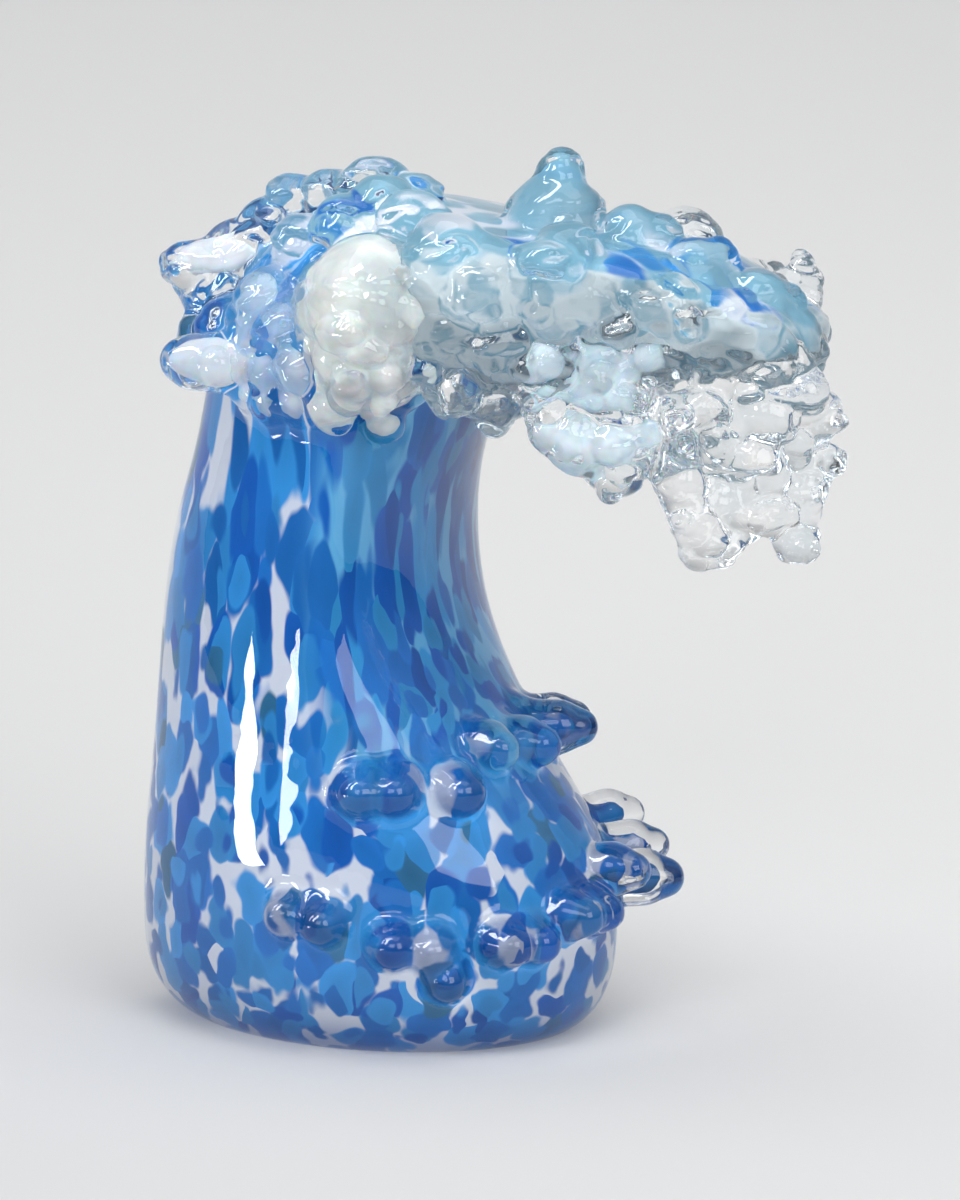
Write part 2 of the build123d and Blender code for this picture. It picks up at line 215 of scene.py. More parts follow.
def chip_field_group():
    """Rounded chips of glass in several blues, with pale gaps between them that widen in places."""
    name = "Chip Field"
    if name in bpy.data.node_groups:
        return bpy.data.node_groups[name]
    colours = [(label, "NodeSocketColor") for label in CHIP_COLOURS]
    tree, start, end = new_group(
        name, [("Flow", "NodeSocketVector"), ("Blur", "NodeSocketFloat")] + colours,
        [("Color", "NodeSocketColor")],
    )
    flow = start.outputs["Flow"]
    wander = noise_node(tree, flow, {"Scale": 0.10, "Detail": 1.5, "Roughness": 0.5})
    centred = place(tree, "ShaderNodeVectorMath", {"operation": "SUBTRACT"}, {1: (0.5, 0.5, 0.5)})
    wire(tree, wander.outputs["Color"], centred.inputs[0])
    shove = place(tree, "ShaderNodeVectorMath", {"operation": "MULTIPLY_ADD"}, {1: (CHIP_WANDER,) * 3})
    wire(tree, centred.outputs[0], shove.inputs[0])
    wire(tree, flow, shove.inputs[2])
    patches = noise_node(tree, flow, {"Scale": 0.075, "Detail": 1.5})
    colour = start.outputs["Ground"]
    for density, shift, bare, crowded, thinned in CHIP_LAYERS:
        moved = place(tree, "ShaderNodeMapping", None, {"Location": (shift, shift, shift)})
        wire(tree, shove.outputs[0], moved.inputs["Vector"])
        cells = place(tree, "ShaderNodeTexVoronoi", None, {"Scale": density, "Randomness": 0.9})
        wire(tree, moved.outputs[0], cells.inputs["Vector"])
        chance = place(tree, "ShaderNodeSeparateColor")
        wire(tree, cells.outputs["Color"], chance.inputs[0])
        chip = start.outputs["Light"]
        for label, share in CHIP_SHARES:
            darker = math_node(tree, "GREATER_THAN", chance.outputs[0], share)
            chip = blend_colours(tree, darker, chip, start.outputs[label])
        away = cells.outputs["Distance"]
        shade = map_range(tree, chance.outputs[1], {"To Min": 0.84, "To Max": 1.12})
        deepen = map_range(tree, away, {"From Max": 0.6, "To Min": 0.90, "To Max": 1.10})
        tinted = place(tree, "ShaderNodeHueSaturation")
        wire(tree, math_node(tree, "MULTIPLY", shade, deepen), tinted.inputs["Value"])
        wire(tree, chip, tinted.inputs["Color"])
        low, high = CHIP_THINNING
        radius = map_range(
            tree, patches.outputs[0],
            {"From Min": low, "From Max": high, "To Min": crowded, "To Max": thinned}, smooth=True,
        )
        within = math_node(tree, "SUBTRACT", radius, away)
        solid = fade(tree, math_node(tree, "DIVIDE", within, start.outputs["Blur"]), -0.3, 1.0)
        solid = math_node(tree, "MULTIPLY", solid, math_node(tree, "GREATER_THAN", chance.outputs[2], bare))
        colour = blend_colours(tree, solid, colour, tinted.outputs[0])
    wire(tree, colour, end.inputs["Color"])
    return tree


def fire_polish_group():
    """The faint waves that a flame leaves on a glass skin, as a height."""
    name = "Fire Polish"
    if name in bpy.data.node_groups:
        return bpy.data.node_groups[name]
    tree, start, end = new_group(
        name, [("Vector", "NodeSocketVector"), ("Size", "NodeSocketFloat")], [("Height", "NodeSocketFloat")],
    )
    broad = noise_node(tree, start.outputs["Vector"], {"Detail": 1.5, "Roughness": 0.4})
    wire(tree, math_node(tree, "DIVIDE", 1.0, start.outputs["Size"]), broad.inputs["Scale"])
    wire(tree, broad.outputs[0], end.inputs["Height"])
    return tree


def new_material(name):
    """A material with an empty node tree; gives it, the tree and its output node."""
    made = bpy.data.materials.new(name)
    made.use_nodes = True
    made.node_tree.nodes.clear()
    return made, made.node_tree, place(made.node_tree, "ShaderNodeOutputMaterial")


def flow_node(tree):
    """A material's own coordinates and those of the pull."""
    spot = place(tree, "ShaderNodeTexCoord")
    flow = place(tree, "ShaderNodeGroup", {"node_tree": pull_flow_group()})
    wire(tree, spot.outputs["Object"], flow.inputs["Vector"])
    return spot.outputs, flow.outputs["Flow"]


def let_through(tree, mask, shader, out):
    """End a material in a shader that light passes where a mask is 1."""
    mix = place(tree, "ShaderNodeMixShader")
    wire(tree, mask, mix.inputs[0])
    wire(tree, shader.outputs[0], mix.inputs[1])
    wire(tree, place(tree, "ShaderNodeBsdfTransparent").outputs[0], mix.inputs[2])
    wire(tree, mix.outputs[0], out.inputs["Surface"])


def inner_glass(tree, out, colour, values=None):
    """End a material in glass that lies under the clear skin and has no gloss of its own; gives its node."""
    made = place(tree, "ShaderNodeBsdfPrincipled", None, {"Roughness": 0.4, "Specular IOR Level": 0.0})
    for socket, value in (values or {}).items():
        made.inputs[socket].default_value = value
    wire(tree, colour, made.inputs["Base Color"])
    wire(tree, made.outputs[0], out.inputs["Surface"])
    return made


# Where the clear skin is foam: up the pull, and where the drips hang under the tip, in millimetres.
FOAM_RISE = (178.0, 192.0)
HANGING_X = (60.0, 80.0)
HANGING_Z = (125.0, 140.0)

# Depth and size of the faint waves on the clear skin, in millimetres.
WAVE_DEPTH = 0.18
WAVE_SIZE = 14.0

# Tint of the clear foam, and the range of a noise in which it comes in.
FOAM_TINT = (0.86, 0.92, 0.95)
TINT_CLOUD = (0.35, 0.7)


def clear_material():
    """Clear glass with a faint tint in the foam and a fire-polished skin; lamps shine through it."""
    made, tree, out = new_material("clear_glass")
    spot, flow = flow_node(tree)
    cloud = noise_node(tree, flow, {"Scale": 0.09, "Detail": 1.0})
    parts = split(tree, flow)
    hanging = math_node(
        tree, "MULTIPLY", fade(tree, parts["X"], *HANGING_X), fade(tree, parts["Z"], *HANGING_Z),
    )
    foam = math_node(tree, "MAXIMUM", fade(tree, parts["Z"], *FOAM_RISE), hanging)
    mask = math_node(tree, "MULTIPLY", fade(tree, cloud.outputs[0], *TINT_CLOUD), foam)
    glass = place(
        tree, "ShaderNodeBsdfPrincipled", None, {"Roughness": 0.0, "IOR": 1.5, "Transmission Weight": 1.0},
    )
    colour = blend_colours(tree, mask, (1.0, 1.0, 1.0, 1.0), (*FOAM_TINT, 1.0))
    wire(tree, colour, glass.inputs["Base Color"])
    waves = place(tree, "ShaderNodeGroup", {"node_tree": fire_polish_group()}, {"Size": WAVE_SIZE * MM})
    wire(tree, spot["Object"], waves.inputs["Vector"])
    bump = place(tree, "ShaderNodeBump", None, {"Strength": 1.0, "Distance": WAVE_DEPTH * MM})
    wire(tree, waves.outputs["Height"], bump.inputs["Height"])
    wire(tree, bump.outputs["Normal"], glass.inputs["Normal"])
    path = place(tree, "ShaderNodeLightPath")
    let_through(tree, path.outputs["Is Shadow Ray"], glass, out)
    return made


def stretched(tree, flow, scale):
    """The pull's coordinates squeezed or drawn out along each axis."""
    made = place(tree, "ShaderNodeMapping", None, {"Scale": scale})
    wire(tree, flow, made.inputs["Vector"])
    return made.outputs[0]


def chips_node(tree, flow, blur, colours):
    """A field of chips in five colours, with a blur at their rims in shares of a cell; gives its colour."""
    made = place(tree, "ShaderNodeGroup", {"node_tree": chip_field_group()}, {"Blur": blur})
    for label, colour in zip(CHIP_COLOURS, colours):
        made.inputs[label].default_value = (*colour, 1.0)
    wire(tree, flow, made.inputs["Flow"])
    return made.outputs["Color"]


# Bands up the pull, in millimetres: the foot, the dark rim of the base, the hollow face and the crest.
FOOT_BAND = (0.0, 14.0)
RIM_BAND = (13.0, 4.0)
HOLLOW_BAND = (60.0, 95.0)
CREST_BAND = (182.0, 214.0)

# How far the pattern slides over the foot, in millimetres, and how close it is there along the pull.
FOOT_SLIDE = 7.0
FOOT_DENSITY = 0.84

# How much the chips are squeezed on each axis, on the hollow face and on the crest, and the blur of rims.
HOLLOW_SQUEEZE = (1.2, 1.2, 0.30)
CREST_SQUEEZE = (0.75, 0.75, 0.55)
SHARP_RIM = 0.10
SOFT_RIM = 0.16

# How far a face looks toward the hollow side, and up on the ridge.
HOLLOW_FACING = (-0.1, 0.45)
RIDGE_FACING = (0.0, 0.5)

# How far glass is pulled out of the layer where painted shade darkens the flanks of the nubs, and on the
# peaks, in millimetres.
FLANK_SHADE_PULL = (0.3, 3.0)
PEAK_PULL = (1.0, 7.0)

# How strongly the rim, the painted shade on the flanks and the peaks take their colours, and where the mist
# comes in.
RIM_SHARE = 0.55
FLANK_SHADE_SHARE = 0.55
PEAK_SHARE = 0.85
MIST_CLOUD = (0.32, 0.55)


def chip_material(settings):
    """Blue chips over white: drawn out up the body, streaked on the hollow face, pale on the crest."""
    made, tree, out = new_material("chip_glass")
    spot, flow = flow_node(tree)
    parts = split(tree, flow)
    foot = math_node(tree, "MULTIPLY", fade(tree, parts["Z"], *FOOT_BAND), FOOT_SLIDE)
    drawn = math_node(tree, "MULTIPLY", parts["Z"], settings.chip_draw)
    eased = math_node(tree, "SUBTRACT", FOOT_DENSITY, drawn)
    along = math_node(tree, "ADD", math_node(tree, "MULTIPLY", parts["Z"], eased), foot)
    body = chips_node(
        tree, join(tree, X=parts["X"], Y=parts["Y"], Z=along), SHARP_RIM,
        (settings.white, settings.cerulean, settings.azure, settings.cobalt, settings.slate),
    )
    streaks = chips_node(
        tree, stretched(tree, flow, HOLLOW_SQUEEZE), SHARP_RIM,
        (settings.haze, settings.hollow, settings.azure, settings.cobalt, settings.cobalt),
    )
    crest = chips_node(
        tree, stretched(tree, flow, CREST_SQUEEZE), SOFT_RIM,
        (settings.white, settings.sky, settings.sky, settings.cerulean, settings.azure),
    )
    facing = split(tree, spot["Normal"])
    hollow = math_node(
        tree, "MULTIPLY", fade(tree, facing["X"], *HOLLOW_FACING), fade(tree, parts["Z"], *HOLLOW_BAND),
    )
    colour = blend_colours(tree, hollow, body, streaks)
    rim = math_node(tree, "MULTIPLY", fade(tree, parts["Z"], *RIM_BAND), RIM_SHARE)
    colour = blend_colours(tree, rim, colour, (*settings.cobalt, 1.0))
    pulled = place(tree, "ShaderNodeAttribute", {"attribute_name": "pull"}).outputs["Fac"]
    # Painted shade: the flanks of the nubs are darkened toward the darkest blue, standing in for the dark
    # rims of their clear domes.
    flank_shade_mask = math_node(tree, "MULTIPLY", fade(tree, pulled, *FLANK_SHADE_PULL), FLANK_SHADE_SHARE)
    colour = blend_colours(tree, flank_shade_mask, colour, (*settings.painted_flank_shade, 1.0))
    wisps = noise_node(tree, flow, {"Scale": 0.11, "Detail": 2.5})
    misty = fade(tree, wisps.outputs[0], *MIST_CLOUD)
    mist = blend_colours(tree, misty, (*settings.sky, 1.0), (*settings.mist, 1.0))
    ridge = blend_colours(tree, fade(tree, facing["Z"], *RIDGE_FACING), mist, crest)
    peaked = math_node(tree, "MULTIPLY", fade(tree, pulled, *PEAK_PULL), PEAK_SHARE)
    ridge = blend_colours(tree, peaked, ridge, (*settings.sky, 1.0))
    inner_glass(tree, out, blend_colours(tree, fade(tree, parts["Z"], *CREST_BAND), colour, ridge))
    return made


# Glass inside the foam: its pale and deep clouds, and its cover where it is thinnest and thickest.
MILKY_LOOKS = {
    "opal_glass": ((0.78, 0.81, 0.79), (0.68, 0.73, 0.73), 0.30, 0.8),
    "milk_glass": ((0.82, 0.84, 0.85), (0.64, 0.72, 0.78), 0.45, 0.95),
    "frost_glass": ((0.80, 0.83, 0.84), (0.60, 0.70, 0.78), 0.10, 0.5),
    "pale_blue_glass": ((0.76, 0.86, 0.91), (0.52, 0.70, 0.82), 0.15, 0.7),
}
MILKY_CLOUD = (0.25, 0.75)


def milky_material(name):
    """Milk glass in wisps: paler and deeper clouds, thin enough to see into."""
    pale, deep, thinnest, thickest = MILKY_LOOKS[name]
    made, tree, out = new_material(name)
    flow = flow_node(tree)[1]
    cloud = noise_node(tree, flow, {"Scale": 0.07, "Detail": 3.0, "Roughness": 0.5})
    mask = fade(tree, cloud.outputs[0], *MILKY_CLOUD)
    glass = inner_glass(
        tree, out, blend_colours(tree, mask, (*deep, 1.0), (*pale, 1.0)),
        {"Subsurface Weight": 0.6, "Subsurface Scale": 5.0 * MM},
    )
    wire(tree, map_range(tree, mask, {"To Min": thinnest, "To Max": thickest}), glass.inputs["Alpha"])
    return made


# The darkest cloud in the white core, as a share of its white.
CORE_SHADE = 0.9


def core_material(settings):
    """Dense white glass with a faint cloud in it."""
    made, tree, out = new_material("white_glass")
    flow = flow_node(tree)[1]
    cloud = noise_node(tree, flow, {"Scale": 0.05, "Detail": 2.0})
    grey = tuple(CORE_SHADE * part for part in settings.white)
    inner_glass(tree, out, blend_colours(tree, cloud.outputs[0], (*grey, 1.0), (*settings.white, 1.0)))
    return made


def node_shell(names):
    """Copies of the part's nodes in one bmesh, each merged into closed walls."""
    shell = bmesh.new()
    for name in names:
        shell.from_mesh(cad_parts[name].data)
    bmesh.ops.remove_doubles(shell, verts=shell.verts, dist=MERGE)
    return shell


def keep_outer_wall(shell):
    """Delete every loose wall of a shell but the tallest."""
    walls = []
    waiting = set(shell.verts)
    while waiting:
        front = [waiting.pop()]
        wall = []
        while front:
            vert = front.pop()
            wall.append(vert)
            for link in vert.link_edges:
                other = link.other_vert(vert)
                if other in waiting:
                    waiting.remove(other)
                    front.append(other)
        walls.append(wall)
    walls.sort(key=lambda wall: max(vert.co.z for vert in wall) - min(vert.co.z for vert in wall))
    for wall in walls[:-1]:
        bmesh.ops.delete(shell, geom=wall, context="VERTS")


def swell(shell, depth):
    """Move every vertex outward along its normal, or inward for a negative depth."""
    shell.normal_update()
    for vert in shell.verts:
        vert.co += vert.normal * depth


def apply_modifiers(made):
    """Make a piece's mesh what its modifiers show."""
    graph = bpy.context.evaluated_depsgraph_get()
    shown = bpy.data.meshes.new_from_object(made.evaluated_get(graph))
    made.modifiers.clear()
    made.data = shown
    shown.name = made.name


def add_polish(made, rounds):
    """Add so many rounds of smoothing to a piece."""
    polish = made.modifiers.new("Polish", "SMOOTH")
    polish.factor = 0.5
    polish.iterations = rounds


def melt(name, shell, voxel, rounds):
    """Melt a shell's walls into one closed skin, smooth it and link it as an object at the origin."""
    mesh = bpy.data.meshes.new(name)
    shell.to_mesh(mesh)
    shell.free()
    made = bpy.data.objects.new(name, mesh)
    bpy.context.scene.collection.objects.link(made)
    fuse = made.modifiers.new("Fuse", "REMESH")
    fuse.mode = "VOXEL"
    fuse.voxel_size = voxel
    fuse.use_smooth_shade = True
    add_polish(made, rounds)
    apply_modifiers(made)
    return made


def ease(value, low, high):
    """A smooth step from 0 at low to 1 at high."""
    share = min(1.0, max(0.0, (value - low) / (high - low)))
    return share * share * (3.0 - 2.0 * share)


# How far up a face of the crest looks where its top turns smooth.
SMOOTH_TOP = (0.75, 0.35)


def foam_share(spot, normal):
    """How far a point of the clear skin is foam: on the crest's sides and in the drips, not on its top."""
    x, z = spot.x / MM, spot.z / MM
    pulled = PIVOT_Z + atan2(z - PIVOT_Z, PIVOT_X - x) * PIVOT_X if z > PIVOT_Z else z
    hanging = ease(x, *HANGING_X) * ease(z, *HANGING_Z)
    return max(ease(pulled, *FOAM_RISE), hanging) * ease(normal.z, *SMOOTH_TOP)


# Small lumps of the foam: cells per metre along each axis, height in millimetres, the level in a cell that
# stays where it is, how far the cells sway and how fine that sway is, in cells, and the noise's seed.
LUMP_CELLS = (120.0, 150.0, 185.0)
LUMP_HEIGHT = 3.2
LUMP_LEVEL = 0.4
LUMP_SWAY = 0.5
SWAY_SCALE = 0.8
LUMP_SEED = 3


def raise_lumps(made):
    """Raise small rounded lumps, with creases between them, in the foam of the clear skin."""
    noise.seed_set(LUMP_SEED)
    verts = made.data.vertices
    normals = [vert.normal.copy() for vert in verts]
    for vert, normal in zip(verts, normals):
        share = foam_share(vert.co, normal)
        if share > 0.0:
            cell = Vector([part * count for part, count in zip(vert.co, LUMP_CELLS)])
            cell += noise.noise_vector(cell * SWAY_SCALE) * LUMP_SWAY
            away = noise.voronoi(cell)[0][0]
            vert.co += normal * (LUMP_LEVEL - away * away) * share * LUMP_HEIGHT * MM


# Rounds of smoothing before a mesh is thinned.
THIN_ROUNDS = 2


def thin(made, most):
    """Smooth a piece once more and thin its mesh to so many triangles."""
    add_polish(made, THIN_ROUNDS)
    count = sum(len(face.vertices) - 2 for face in made.data.polygons)
    fewer = made.modifiers.new("Thin", "DECIMATE")
    fewer.ratio = min(1.0, most / count)
    apply_modifiers(made)


def finish_piece(made, material, nodes):
    """Give a piece its material and its body, and hide the nodes that it stands for."""
    made.data.materials.clear()
    made.data.materials.append(material)
    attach(made, "root")
    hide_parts(*nodes)


def add_shell(shell, other):
    """Add another bmesh's walls to a shell and free it."""
    scratch = bpy.data.meshes.new("scratch")
    other.to_mesh(scratch)
    other.free()
    shell.from_mesh(scratch)
    bpy.data.meshes.remove(scratch)


# Copies of a node that widen toward its root: growth and sink of each, in millimetres.
NUB_FLARE = ((0.8, 0.0), (1.8, 3.0), (3.2, 6.0))
NUB_CORE_FLARE = ((-2.6, 3.0), (-1.4, 5.5))
PEAK_FLARE = ((0.8, 0.0), (1.8, 3.5), (3.6, 8.0), (6.5, 13.0))
PEAK_CORE_FLARE = ((-1.6, 0.4), (-0.4, 4.5), (2.6, 10.0))
FOAM_FLARE = ((1.0, 0.0), (2.4, 3.0))


def node_middle(name):
    """The middle of a node's box."""
    low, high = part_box(name)
    return (Vector(low) + Vector(high)) * 0.5


def flared_shell(name, flare, inward):
    """A node with a root that widens toward the glass it is melted to, as overlapping walls."""
    shell = bmesh.new()
    for growth, sink in flare:
        copy = node_shell([name])
        swell(copy, growth * MM)
        bmesh.ops.translate(copy, verts=copy.verts, vec=inward * sink * MM)
        add_shell(shell, copy)
    return shell


def pulled_shell(name, nub_flare, peak_flare):
    """A nub or a peak with a flared root."""
    if name in PEAKS:
        return flared_shell(name, peak_flare, Vector((0.0, 0.0, -1.0)))
    middle = node_middle(name)
    return flared_shell(name, nub_flare, Vector((-middle.x, -middle.y, 0.0)).normalized())


def melted_shell(name):
    """A bit of foam with a root that spreads where it is melted to the crest."""
    middle = node_middle(name)
    arm = Vector((middle.x - PIVOT_X * MM, 0.0, middle.z - PIVOT_Z * MM)).normalized()
    spine = Vector((PIVOT_X, 0.0, PIVOT_Z)) * MM + arm * SPINE_REACH * MM
    return flared_shell(name, FOAM_FLARE, (spine - middle).normalized())


def drawn_lump(lumps, centre, girth, draw, along):
    """Add a lump drawn out along a direction to a bmesh."""
    turned = along.to_track_quat("Z", "Y").to_matrix().to_4x4()
    spot = Matrix.Translation(centre) @ turned @ Matrix.Diagonal((1.0, 1.0, draw, 1.0))
    bmesh.ops.create_icosphere(lumps, subdivisions=2, radius=girth, matrix=spot)


# The way that lumps sag, how far they stray from it, how flat they lie on the skin,
# and how far they stand out of it in shares of their girth.
SAG = (0.2, 0.0, -0.7)
SAG_STRAY = 0.8
SAG_FLATNESS = 0.7
LUMP_STAND = (-0.2, 0.3)


def scatter_lumps(shell, names, count, girths, draws, seed):
    """Melt small drawn lumps into some nodes' skins at random places, most of them sagging."""
    chance = random.Random(seed)
    ground = node_shell(names)
    ground.faces.ensure_lookup_table()
    weights = [face.calc_area() for face in ground.faces]
    lumps = bmesh.new()
    for face in chance.choices(ground.faces, weights=weights, k=count):
        girth = chance.uniform(*girths) * MM
        sag = Vector([chance.uniform(-SAG_STRAY, SAG_STRAY) for _ in "xyz"]) + Vector(SAG)
        along = (sag - face.normal * sag.dot(face.normal) * SAG_FLATNESS).normalized()
        centre = face.calc_center_median() + face.normal * girth * chance.uniform(*LUMP_STAND)
        drawn_lump(lumps, centre, girth, chance.uniform(*draws), along)
    ground.free()
    add_shell(shell, lumps)


class GlassWaveSettings(bpy.types.PropertyGroup):
    """Sizes and colours of the glass that a user would change."""

    skin_grain: bpy.props.FloatProperty(
        name="Skin grain", description="Size of the cells that the clear skin is fused from",
        default=1.05 * MM, min=0.4 * MM, unit="LENGTH",
    )
    chip_draw: bpy.props.FloatProperty(
        name="Chip draw", description="How fast the chips lengthen up the body, per millimetre of height",
        default=0.0017, min=0.0, max=0.0022,
    )
    white: bpy.props.FloatVectorProperty(
        name="White", description="Ground between the chips", subtype="COLOR", default=(0.60, 0.64, 0.71),
    )
    sky: bpy.props.FloatVectorProperty(
        name="Sky", description="Palest blue chips", subtype="COLOR", default=(0.17, 0.35, 0.46),
    )
    cerulean: bpy.props.FloatVectorProperty(
        name="Cerulean", description="Light blue chips", subtype="COLOR", default=(0.032, 0.235, 0.55),
    )
    azure: bpy.props.FloatVectorProperty(
        name="Azure", description="Middle blue chips", subtype="COLOR", default=(0.014, 0.14, 0.44),
    )
    cobalt: bpy.props.FloatVectorProperty(
        name="Cobalt", description="Deep blue chips", subtype="COLOR", default=(0.009, 0.095, 0.38),
    )
    slate: bpy.props.FloatVectorProperty(
        name="Slate", description="Few dull chips", subtype="COLOR", default=(0.03, 0.14, 0.27),
    )
    # Painted shade: the darkest blue laid on the flanks of the nubs stands in for the dark rims of their
    # clear domes.
    painted_flank_shade: bpy.props.FloatVectorProperty(
        name="Painted flank shade", description="Darkest blue, on the flanks of the nubs", subtype="COLOR",
        default=(0.006, 0.055, 0.24),
    )
    haze: bpy.props.FloatVectorProperty(
        name="Haze", description="Ground of the hollow face", subtype="COLOR", default=(0.12, 0.40, 0.66),
    )
    mist: bpy.props.FloatVectorProperty(
        name="Mist", description="Pale glass under the foam", subtype="COLOR", default=(0.56, 0.64, 0.68),
    )
    hollow: bpy.props.FloatVectorProperty(
        name="Hollow", description="Streaks on the hollow face", subtype="COLOR", default=(0.030, 0.25, 0.53),
    )
    floor: bpy.props.FloatVectorProperty(
        name="Floor", description="Pale floor and backdrop", subtype="COLOR", default=(0.95, 0.945, 0.94),
    )


class GLASSWAVE_OT_core(bpy.types.Operator):
    """Give the white core its glass."""

    bl_idname = "glasswave.core"
    bl_label = "White Core"

    def execute(self, context):
        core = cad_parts["white_core"]
        core.data.materials.clear()
        core.data.materials.append(core_material(context.scene.glass_wave))
        return {"FINISHED"}


# Cells that the chip layer is fused from, in millimetres, and its rounds of smoothing.
CHIP_GRAIN = 1.3
CHIP_ROUNDS = 22


class GLASSWAVE_OT_chips(bpy.types.Operator):
    """Lay the blue chips over the core and draw them up into the nubs."""

    bl_idname = "glasswave.chips"
    bl_label = "Chip Layer"

    def execute(self, context):
        settings = context.scene.glass_wave
        shell = node_shell(["blue_chip_layer"])
        keep_outer_wall(shell)
        layer = BVHTree.FromBMesh(shell)
        for name in NUBS + PEAKS:
            add_shell(shell, pulled_shell(name, NUB_CORE_FLARE, PEAK_CORE_FLARE))
        made = melt("chip_layer", shell, CHIP_GRAIN * MM, CHIP_ROUNDS)
        self.mark_pull(made.data, layer)
        coloured = [name for name in NUBS if name not in CLEAR_NUBS]
        finish_piece(made, chip_material(settings), ["blue_chip_layer"] + coloured)
        return {"FINISHED"}

    def mark_pull(self, mesh, layer):
        """Write how far each point was pulled out of the layer, in millimetres, as an attribute."""
        pulled = mesh.attributes.new("pull", "FLOAT", "POINT")
        for vert in mesh.vertices:
            pulled.data[vert.index].value = layer.find_nearest(vert.co)[3] / MM


# Lumps melted onto the foam: nodes, how many, girths in millimetres, how far they are drawn, seed.
SKIN_LUMPS = (
    (NEAR_FOAM, 90, (2.6, 4.2), (1.3, 2.3), 7),
    (FAR_FOAM, 60, (2.6, 4.4), (1.2, 2.0), 19),
    (["foam_left"], 12, (2.4, 4.0), (1.2, 1.8), 11),
    (["opal_lump"], 14, (3.6, 5.5), (1.0, 1.5), 23),
    (DRIPS, 6, (3.0, 4.2), (1.2, 1.8), 5),
)

# The web between the two drips: centre of each lump and its girth in millimetres, how far it is drawn
# and which way.
DRIP_WEB = (
    ((108.0, -20.5, 158.0), 4.6, 1.6, (0.8, 0.5, 0.1)),
    ((117.0, -14.0, 157.5), 4.2, 1.6, (0.8, 0.5, -0.2)),
    ((109.0, -20.0, 151.5), 4.4, 1.5, (0.8, 0.5, 0.3)),
    ((116.5, -15.0, 152.0), 3.2, 1.8, (0.8, 0.5, -0.1)),
)

# Growth of the drips and lumps, in millimetres, and the skin's rounds of smoothing and most triangles.
LUMP_GROWTH = 1.0
SKIN_ROUNDS = 10
SKIN_TRIANGLES = 190000


class GLASSWAVE_OT_clear(bpy.types.Operator):
    """Case the chips in clear glass, pull the nubs and peaks out of it and melt the foam onto it."""

    bl_idname = "glasswave.clear"
    bl_label = "Clear Glass"

    def execute(self, context):
        settings = context.scene.glass_wave
        shell = node_shell(["clear_casing"])
        keep_outer_wall(shell)
        for name in NUBS + PEAKS:
            add_shell(shell, pulled_shell(name, NUB_FLARE, PEAK_FLARE))
        for name in FOAM + MILKY + PALE + ["opal_lump"]:
            add_shell(shell, melted_shell(name))
        lumps = node_shell(DRIPS)
        for scatter in SKIN_LUMPS:
            scatter_lumps(lumps, *scatter)
        for centre, girth, draw, along in DRIP_WEB:
            drawn_lump(lumps, Vector(centre) * MM, girth * MM, draw, Vector(along))
        swell(lumps, LUMP_GROWTH * MM)
        add_shell(shell, lumps)
        made = melt("clear_skin", shell, settings.skin_grain, SKIN_ROUNDS)
        raise_lumps(made)
        thin(made, SKIN_TRIANGLES)
        covered = ["clear_casing"] + CLEAR_NUBS + PEAKS + FOAM + DRIPS
        finish_piece(made, clear_material(), covered)
        return {"FINISHED"}


# Milk inside the two drawn fingers: root, tip and girth, in millimetres.
FINGER_CORES = (
    ((-32.0, -18.2, 213.8), (-48.5, -25.7, 211.4), 4.4),
    ((-22.0, -42.8, 187.0), (-36.0, -49.8, 187.0), 4.6),
)

# Lobes of the opal lump: how many, girths in millimetres, how far they are drawn, seed.
OPAL_LOBES = (16, (4.0, 6.0), (1.0, 1.6), 23)

# Depths of the cores under their glass and the cells that they are fused from, in millimetres,
# and their rounds of smoothing.
OPAL_DEPTH = 2.2
FROST_DEPTH = 2.0
PALE_DEPTH = 2.0
CORE_GRAIN = 0.8
CORE_ROUNDS = 14


class GLASSWAVE_OT_foam_cores(bpy.types.Operator):
    """Put the milky, opal and pale blue glass inside the clear foam."""

    bl_idname = "glasswave.foam_cores"
    bl_label = "Foam Cores"

    def execute(self, context):
        looks = {name: milky_material(name) for name in MILKY_LOOKS}
        lobes = node_shell(["opal_lump"])
        scatter_lumps(lobes, ["opal_lump"], *OPAL_LOBES)
        swell(lobes, -OPAL_DEPTH * MM)
        self.core(lobes, "opal_core", looks["opal_glass"], "opal_glass", ["opal_lump"])
        fingers = ["left_finger_upper", "left_finger_lower"]
        self.core(self.finger_shell(), "milk_cores", looks["milk_glass"], "opal_glass", fingers)
        frost = node_shell(["foam_left"])
        swell(frost, -FROST_DEPTH * MM)
        self.core(frost, "frost_core", looks["frost_glass"], "opal_glass", ["foam_left"])
        pale = node_shell(PALE)
        swell(pale, -PALE_DEPTH * MM)
        self.core(pale, "pale_cores", looks["pale_blue_glass"], "pale_blue_glass", PALE)
        return {"FINISHED"}

    def finger_shell(self):
        """A drawn lump of milk in each finger."""
        shell = bmesh.new()
        for root, tip, girth in FINGER_CORES:
            start, end = Vector(root) * MM, Vector(tip) * MM
            reach = (end - start).length * 0.5 + girth * MM
            drawn_lump(shell, (start + end) * 0.5, girth * MM, reach / (girth * MM), end - start)
        return shell

    def core(self, shell, label, material, slot, nodes):
        """Melt a shell into the coloured inside of clear glass."""
        made = melt(label, shell, CORE_GRAIN * MM, CORE_ROUNDS)
        finish_piece(made, material, nodes)


# Bounces of light that the glass takes, and those of its gloss.
GLASS_BOUNCES = 24
GLOSS_BOUNCES = 8

# The floor and the backdrop, in metres: half its width, height of the backdrop, radius of the bend,
# how far it stands forward, and how far it lies under the wave so that the two don't touch.
FLOOR_REACH = 2.0
BACKDROP_HEIGHT = 3.0
BEND_RADIUS = 1.0
BEND_SEGMENTS = 24
FLOOR_FORWARD = 0.8
FLOOR_DROP = 0.0002

